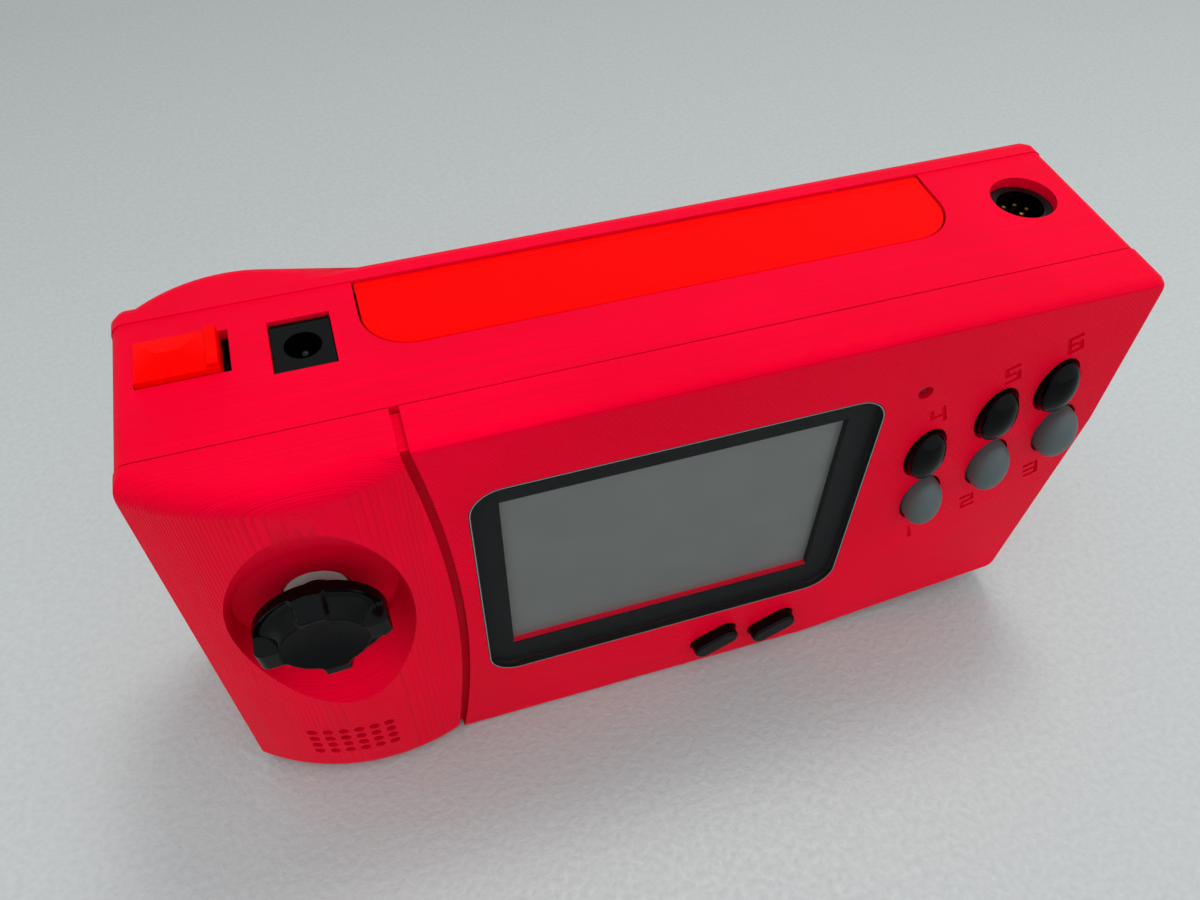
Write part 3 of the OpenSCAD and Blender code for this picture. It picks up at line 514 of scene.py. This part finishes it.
for side in ("left", "right"):
    softened("menu_button_" + side, "menu_button_%s_rounded" % side, "gloss_black", gloss_black, 0.55, 50, 4)


# Direction pad

PAD_R = 12.3
DISH_R = 8.3
DISH_DEPTH = 1.6
RIM_DEPTH = 3.9
PLATE_BACK = 6.0
STEM_R = 3.1
CHAMFER = 0.3
# where each arm begins to fall, measured from the middle
UPPER_ARM, LOWER_ARM, SIDE_ARM = 8.6, 10.0, 10.4
# an arm's half width and the width of its flank
ARM_HALF, ARM_FLANK = 2.3, 0.9
# the loose pad has turned a little on its pivot
PAD_TURN = math.radians(4)


def pad_depth(x, z):
    """Depth of the pad's skin behind its front, at a place measured from the middle, in millimetres."""
    r = math.hypot(x, z)
    angle = math.atan2(z, x) - PAD_TURN
    level, upright = abs(r * math.cos(angle)), abs(r * math.sin(angle))
    along, across = max(level, upright), min(level, upright)
    dish = DISH_DEPTH * max(0.0, 1 - (r / DISH_R) ** 2)
    if upright > level:
        # the upper arm slopes back to the rim from the ring, the lower one from further out
        past = max(0.0, along - (UPPER_ARM if math.sin(angle) > 0 else LOWER_ARM))
        end = math.hypot(past, 0.4) - 0.4
    else:
        # the side arms stay high and round over at their ends
        past = min(1.0, max(0.0, (along - SIDE_ARM) / (PAD_R - SIDE_ARM)))
        end = 1.7 * (1 - math.sqrt(1 - past * past))
    # the quarters between the arms fall steeply from the ring and run out flat to the rim
    fall = min(1.0, max(0.0, (r - DISH_R) / (PAD_R - 0.4 - DISH_R)))
    hollow = (0.5 + 1.3 * math.sin(2 * angle) ** 2) * 4 * fall * (1 - fall)
    scoop = dish + 0.35 * min(1.0, max(0.0, (r - DISH_R + 0.5) / 0.5)) + (RIM_DEPTH - 0.5) * fall + hollow
    side = min(1.0, max(0.0, (across - ARM_HALF) / ARM_FLANK))
    return dish + end + (scoop - dish - end) * side if r > DISH_R - 0.5 else dish


def direction_pad():
    """Round pad with a dished middle, four raised arms and scooped quarters between them."""
    low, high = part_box("direction_pad")
    centre = Vector(((low.x + high.x) / 2, low.y, (low.z + high.z) / 2))
    stem_back = (high.y - low.y) / MM
    sides, rings = 360, 66
    piece = upright_disc("direction_pad_scooped", centre, PAD_R, sides)
    bpy.ops.mesh.select_mode(type="FACE")
    bpy.ops.mesh.select_all(action="SELECT")
    for ring in range(1, rings):
        bpy.ops.mesh.inset(thickness=0.0)
        share = (rings - ring) / (rings - ring + 1)
        bpy.ops.transform.resize(value=(share, 1, share), center_override=centre)
    bpy.ops.mesh.poke()
    close_edit()
    for point in piece.data.vertices:
        x, z = (point.co.x - centre.x) / MM, (point.co.z - centre.z) / MM
        point.co.y = centre.y + pad_depth(x, z) * MM
    open_edit(piece, "FACE")
    bpy.ops.mesh.select_all(action="SELECT")
    bpy.ops.mesh.region_to_loop()
    for radius, depth in ((PAD_R, RIM_DEPTH + CHAMFER), (PAD_R, PLATE_BACK - CHAMFER),
                          (PAD_R - CHAMFER, PLATE_BACK), (STEM_R, PLATE_BACK),
                          (STEM_R, stem_back - CHAMFER), (STEM_R - CHAMFER, stem_back)):
        bpy.ops.mesh.extrude_edges_move()
        close_edit()
        for point in piece.data.vertices:
            if point.select:
                out = Vector((point.co.x - centre.x, 0, point.co.z - centre.z)).normalized()
                point.co = centre + out * radius * MM + Vector((0, depth * MM, 0))
        bpy.ops.object.mode_set(mode="EDIT")
    bpy.ops.mesh.edge_face_add()
    bpy.ops.mesh.select_all(action="SELECT")
    bpy.ops.mesh.normals_make_consistent(inside=False)
    close_edit()
    smooth(piece, 38)
    piece.data.materials.append(gloss_black)
    piece.data.materials.append(dish_black)
    for face in piece.data.polygons:
        out = math.hypot(face.center.x - centre.x, face.center.z - centre.z) / MM
        on_front = (face.center.y - centre.y) / MM < PLATE_BACK - 1
        if on_front and out < DISH_R - 0.1:
            face.material_index = 1
    return place(piece, "pad", "gloss_black", gloss_black, "direction_pad")


direction_pad()

CARRIED = {
    "screen_mask": mask_ink, "lcd_panel": display_grey,
    "lcd_backlight": print_white, "lcd_board": board_green, "main_board": board_green,
    "action_board": board_green, "menu_board": board_green, "pad_board": board_green,
    "action_membrane": grey_rubber, "menu_membrane": grey_rubber, "pad_membrane": grey_rubber,
    "speaker": moulded_black, "status_led": lamp_red, "power_switch_body": moulded_black,
    "power_lever": moulded_black, "dc_jack": gloss_black, "dc_pin": dark_steel,
    "av_socket": moulded_black, "av_ring": dark_steel, "av_pins": dull_brass,
    "cartridge_connector": moulded_black, "flap_pin": dark_steel, "battery_pack": cell_wrap,
    "case_screws": bright_steel, "screw_inserts": dull_brass, "board_screws": bright_steel,
    "pad_pivot": print_white,
}
for node, material in CARRIED.items():
    mesh = frame["nodes"][node].data
    mesh.materials.clear()
    mesh.materials.append(material)


# Stage

ROOM_STRENGTH = 1.15


def pale_floor():
    """A sheet of closed foam: pale grey with faint soft mottling, and painted shade that greys it towards the
    back of the room.
    """
    foam = cloudy("foam_sheet_pale", "#B9BDBC", "#A6ABAA", 1.6, 0.5, 0.5)
    tree = foam.node_tree
    base = tree.nodes["Principled BSDF"].inputs["Base Color"]
    spot = add(tree, "TexCoord")
    axes = add(tree, "SeparateXYZ", [(0, spot.outputs["Object"])])
    # painted shade: the floor's colour falls to 0.72 of itself towards the back
    painted_shade_fade = add(tree, "MapRange", [(0, axes.outputs[1]), (1, 0.03), (2, 0.35), (3, 1.0), (4, 0.72)])
    tone = add(tree, "Mix", [(0, 1.0), (6, base.links[0].from_socket), (7, painted_shade_fade.outputs[0])],
               data_type="RGBA", blend_type="MULTIPLY")
    tree.links.new(tone.outputs[2], base)
    bpy.ops.object.select_all(action="DESELECT")
    bpy.ops.mesh.primitive_plane_add(size=6.0)
    floor = bpy.context.object
    floor.name = "floor"
    floor.data.materials.append(foam)


def soft_light(name, watts, size, spot, aim, colour):
    """One soft square lamp that looks at a point."""
    lamp = bpy.data.lights.new(name, "AREA")
    lamp.energy = watts
    lamp.size = size
    lamp.color = colour
    holder = bpy.data.objects.new(name, lamp)
    holder.location = spot
    holder.rotation_euler = (Vector(aim) - Vector(spot)).to_track_quat("-Z", "Y").to_euler()
    bpy.context.scene.collection.objects.link(holder)


def studio():
    """Room light that fades from the ceiling and the front to a dim back wall, a lamp and the camera."""
    scene = bpy.context.scene
    scene.view_settings.view_transform = "Standard"
    world = bpy.data.worlds.new("room")
    world.use_nodes = True
    tree = world.node_tree
    spot = add(tree, "TexCoord")
    up = add(tree, "SeparateXYZ", [(0, spot.outputs["Generated"])])
    front = add(tree, "Math", [(0, up.outputs[1]), (1, -0.6), (2, up.outputs[2])], operation="MULTIPLY_ADD")
    share = add(tree, "MapRange", [(0, front.outputs[0]), (1, -0.3), (2, 0.9)],
                interpolation_type="SMOOTHSTEP")
    colour = add(tree, "Mix", [(0, share.outputs[0]), (6, linear("#A4A9AB")), (7, linear("#F8FCFF"))],
                 data_type="RGBA")
    tree.links.new(colour.outputs[2], tree.nodes["Background"].inputs[0])
    tree.nodes["Background"].inputs[1].default_value = ROOM_STRENGTH
    scene.world = world
    soft_light("window", 3.5, 0.22, (0.2, 0.25, 1.0), (0.0, 0.0, 0.05), (1.0, 0.98, 0.96))
    view = bpy.data.cameras.new("camera")
    view.sensor_fit = "HORIZONTAL"
    view.sensor_width = 36.0
    view.lens = 30.568
    view.clip_start = 0.01
    camera = bpy.data.objects.new("camera", view)
    camera.location = Vector((-51.7126, -130.2031, 224.5582)) * MM
    camera.rotation_euler = Euler([math.radians(a) for a in (39.7449, -0.5608, -17.3313)])
    scene.collection.objects.link(camera)
    scene.camera = camera


pale_floor()
studio()
